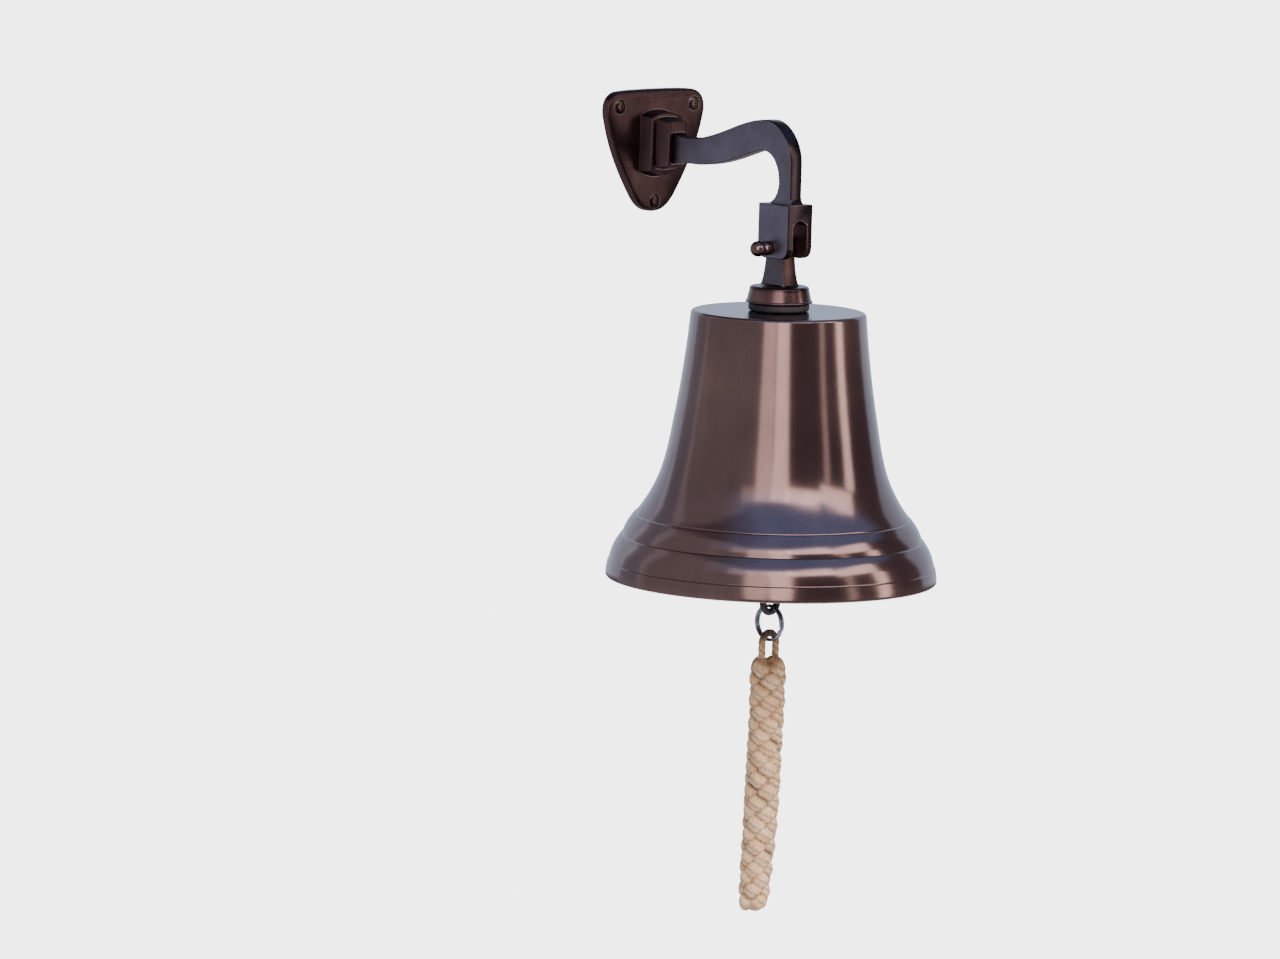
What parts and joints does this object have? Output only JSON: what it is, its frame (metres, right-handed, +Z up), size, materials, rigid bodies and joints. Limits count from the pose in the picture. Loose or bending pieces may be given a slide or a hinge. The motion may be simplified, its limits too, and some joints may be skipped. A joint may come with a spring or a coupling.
{
  "type": "ship bell",
  "caption": "Wall-hung bell on a swan-neck bracket, with a hinged hanger, an inner clapper and a short plaited rope pull on a split ring.",
  "frame": {"origin": "on the wall plate's back face, midway between its two upper screws", "axes": "+Z up, +Y into the wall (outward normal of the plate's back face), so the arm reaches out along -Y; +X to the right seen from the room"},
  "size_m": [0.18, 0.2017, 0.4429],
  "materials": {
    "bell_copper": "polished antique copper, dark red-brown",
    "antique_copper": "buffed antique copper with lighter edges",
    "satin_bracket": "satin blue-grey antique bronze with brown edges",
    "dark_screw": "dark bronzed screw",
    "black_iron": "black painted iron",
    "ring_steel": "bright spring steel",
    "zinc": "zinc plated",
    "gasket": "matt black rubber",
    "cotton": "natural laid cotton cord"
  },
  "bodies": {
    "bracket": {"wall_plate": "antique_copper", "wall_screw_left": "dark_screw", "wall_screw_right": "dark_screw", "wall_screw_bottom": "dark_screw", "arm_fixing_screw": "zinc", "bracket_arm": "satin_bracket", "pivot_bolt": "antique_copper", "pivot_ball_nut": "antique_copper"},
    "bell": {"bell_hanger": "antique_copper", "crown_gasket": "gasket", "bell_body": "bell_copper", "inner_washer": "zinc", "lock_washer": "zinc", "clamp_nut": "zinc", "clapper_eyebolt": "zinc"},
    "link": {"clapper_link": "ring_steel"},
    "clapper": {"clapper_rod": "black_iron", "clapper_ball": "black_iron"},
    "ring": {"split_ring": "ring_steel"},
    "lanyard": {"lanyard_eye": "cotton", "lanyard_sinnet": "cotton"}
  },
  "joints": [
    {"name": "bell_swing", "type": "hinge", "parent": "bracket", "child": "bell", "pos_m": [0, -0.104, -0.0695], "axis": [-1, 0, 0], "range_deg": [-4, 60]},
    {"name": "clapper_swing", "type": "hinge", "parent": "bell", "child": "link", "pos_m": [0, -0.104, -0.1364], "axis": [0, 1, 0], "range_deg": [-29, 29]},
    {"name": "clapper_sway", "type": "hinge", "parent": "link", "child": "clapper", "pos_m": [0, -0.104, -0.15225], "axis": [1, 0, 0], "range_deg": [-9, 9]},
    {"name": "ring_swing", "type": "hinge", "parent": "clapper", "child": "ring", "pos_m": [0, -0.104, -0.2686], "axis": [1, 0, 0], "range_deg": [-45, 45]},
    {"name": "lanyard_swing", "type": "hinge", "parent": "ring", "child": "lanyard", "pos_m": [0, -0.104, -0.28395], "axis": [0, 1, 0], "range_deg": [-35, 35]}
  ]
}
